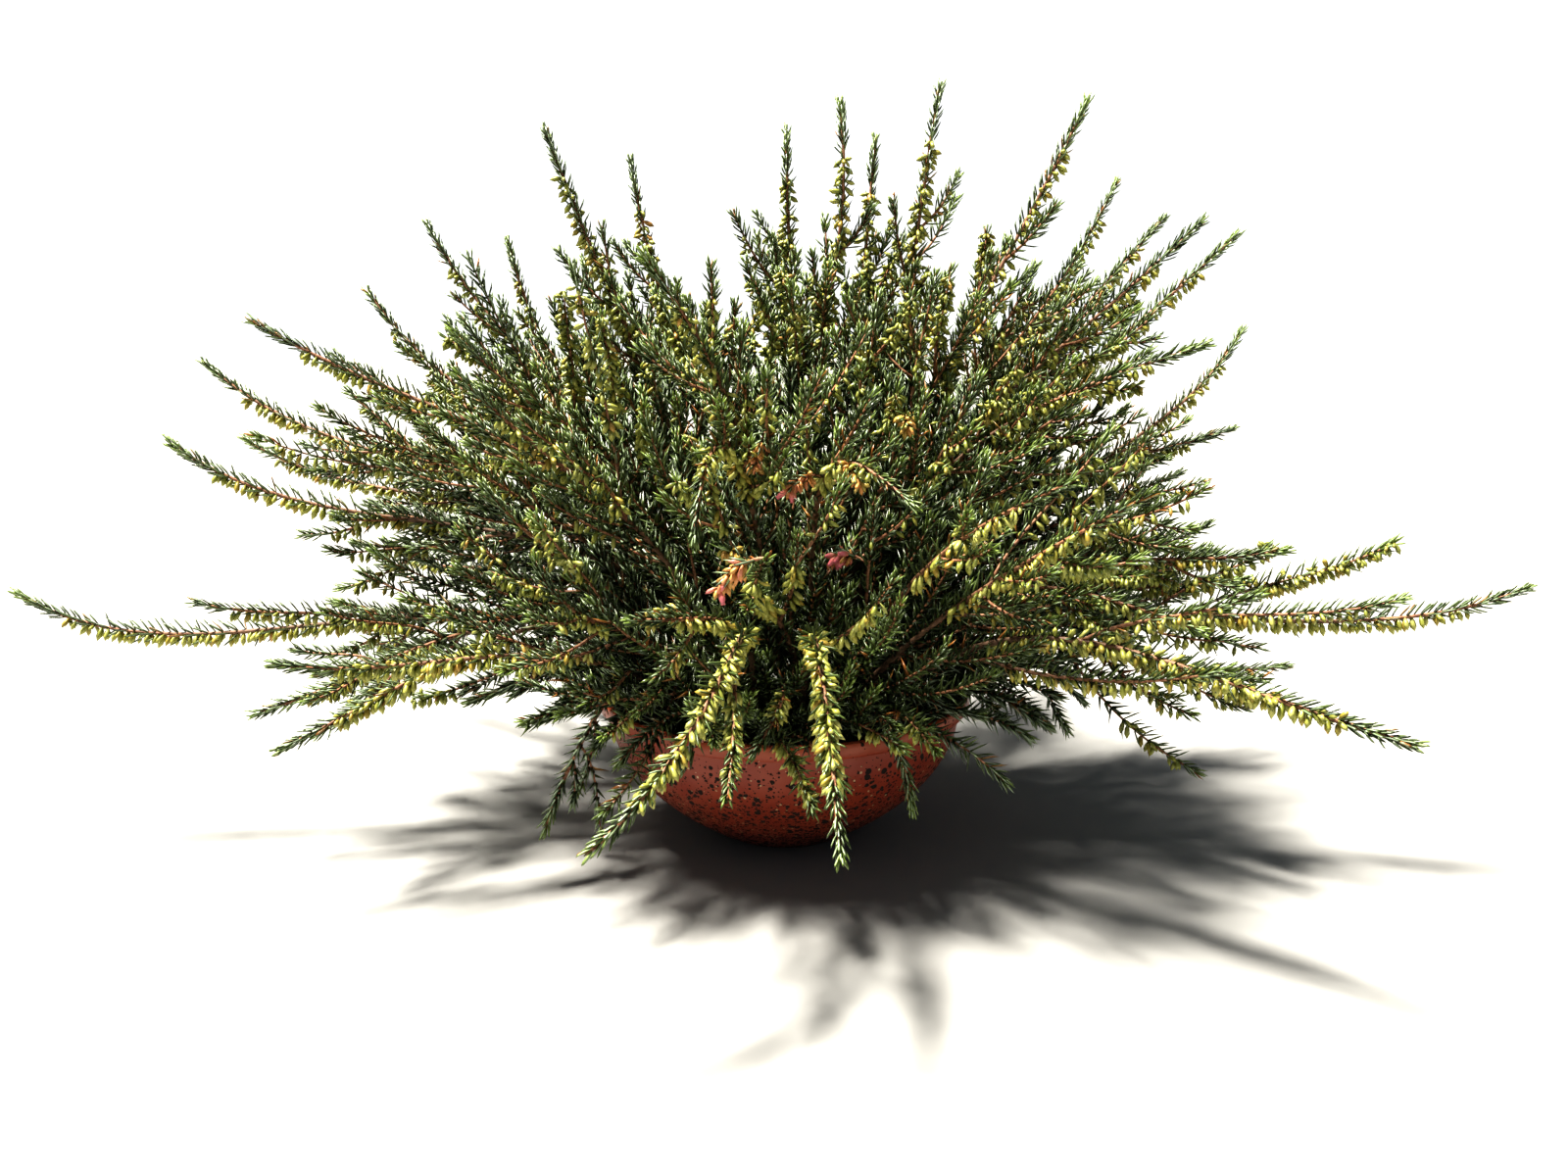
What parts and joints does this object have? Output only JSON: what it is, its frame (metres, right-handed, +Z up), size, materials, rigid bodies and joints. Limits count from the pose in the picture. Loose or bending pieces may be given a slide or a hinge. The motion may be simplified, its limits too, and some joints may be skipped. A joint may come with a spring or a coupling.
{
  "type": "potted winter-flowering heath",
  "caption": "Spreading winter-flowering heath with long leafy, budded sprays, planted in a round terracotta-coloured plastic bowl.",
  "frame": {"origin": "middle of the bowl's flat foot, on the surface that it stands on", "axes": "+Z up along the bowl's axis, -Y towards the side that the picture shows, +X to the right in it"},
  "size_m": [0.564, 0.4109, 0.2933],
  "materials": {
    "bowl_plastic": "terracotta-red injection-moulded plastic, satin, with soil splashes low down",
    "potting_soil": "dark peaty potting soil, matt and crumbly",
    "foliage": "dark green needle leaves with yellow-green flower buds on thin woody stems"
  },
  "bodies": {
    "root": {"bowl": "bowl_plastic", "soil": "potting_soil", "spray_01": "foliage", "spray_02": "foliage", "spray_03": "foliage", "spray_04": "foliage", "spray_05": "foliage", "spray_06": "foliage", "spray_07": "foliage", "spray_08": "foliage", "spray_09": "foliage", "spray_10": "foliage", "spray_11": "foliage", "spray_12": "foliage", "spray_13": "foliage", "spray_14": "foliage", "spray_15": "foliage", "spray_16": "foliage", "spray_17": "foliage", "spray_18": "foliage", "spray_19": "foliage", "spray_20": "foliage", "spray_21": "foliage", "spray_22": "foliage", "spray_23": "foliage", "spray_24": "foliage", "spray_25": "foliage", "spray_26": "foliage", "spray_27": "foliage", "spray_28": "foliage", "spray_29": "foliage", "spray_30": "foliage", "spray_31": "foliage", "spray_32": "foliage", "spray_33": "foliage", "spray_34": "foliage", "spray_35": "foliage", "spray_36": "foliage", "spray_37": "foliage", "spray_38": "foliage", "spray_39": "foliage", "spray_40": "foliage", "spray_41": "foliage", "spray_42": "foliage", "spray_43": "foliage", "spray_44": "foliage", "spray_45": "foliage", "spray_46": "foliage", "spray_47": "foliage", "spray_48": "foliage", "spray_49": "foliage", "spray_50": "foliage", "spray_51": "foliage", "spray_52": "foliage", "spray_53": "foliage", "spray_54": "foliage", "spray_55": "foliage", "spray_56": "foliage", "spray_57": "foliage", "spray_58": "foliage"}
  },
  "joints": []
}
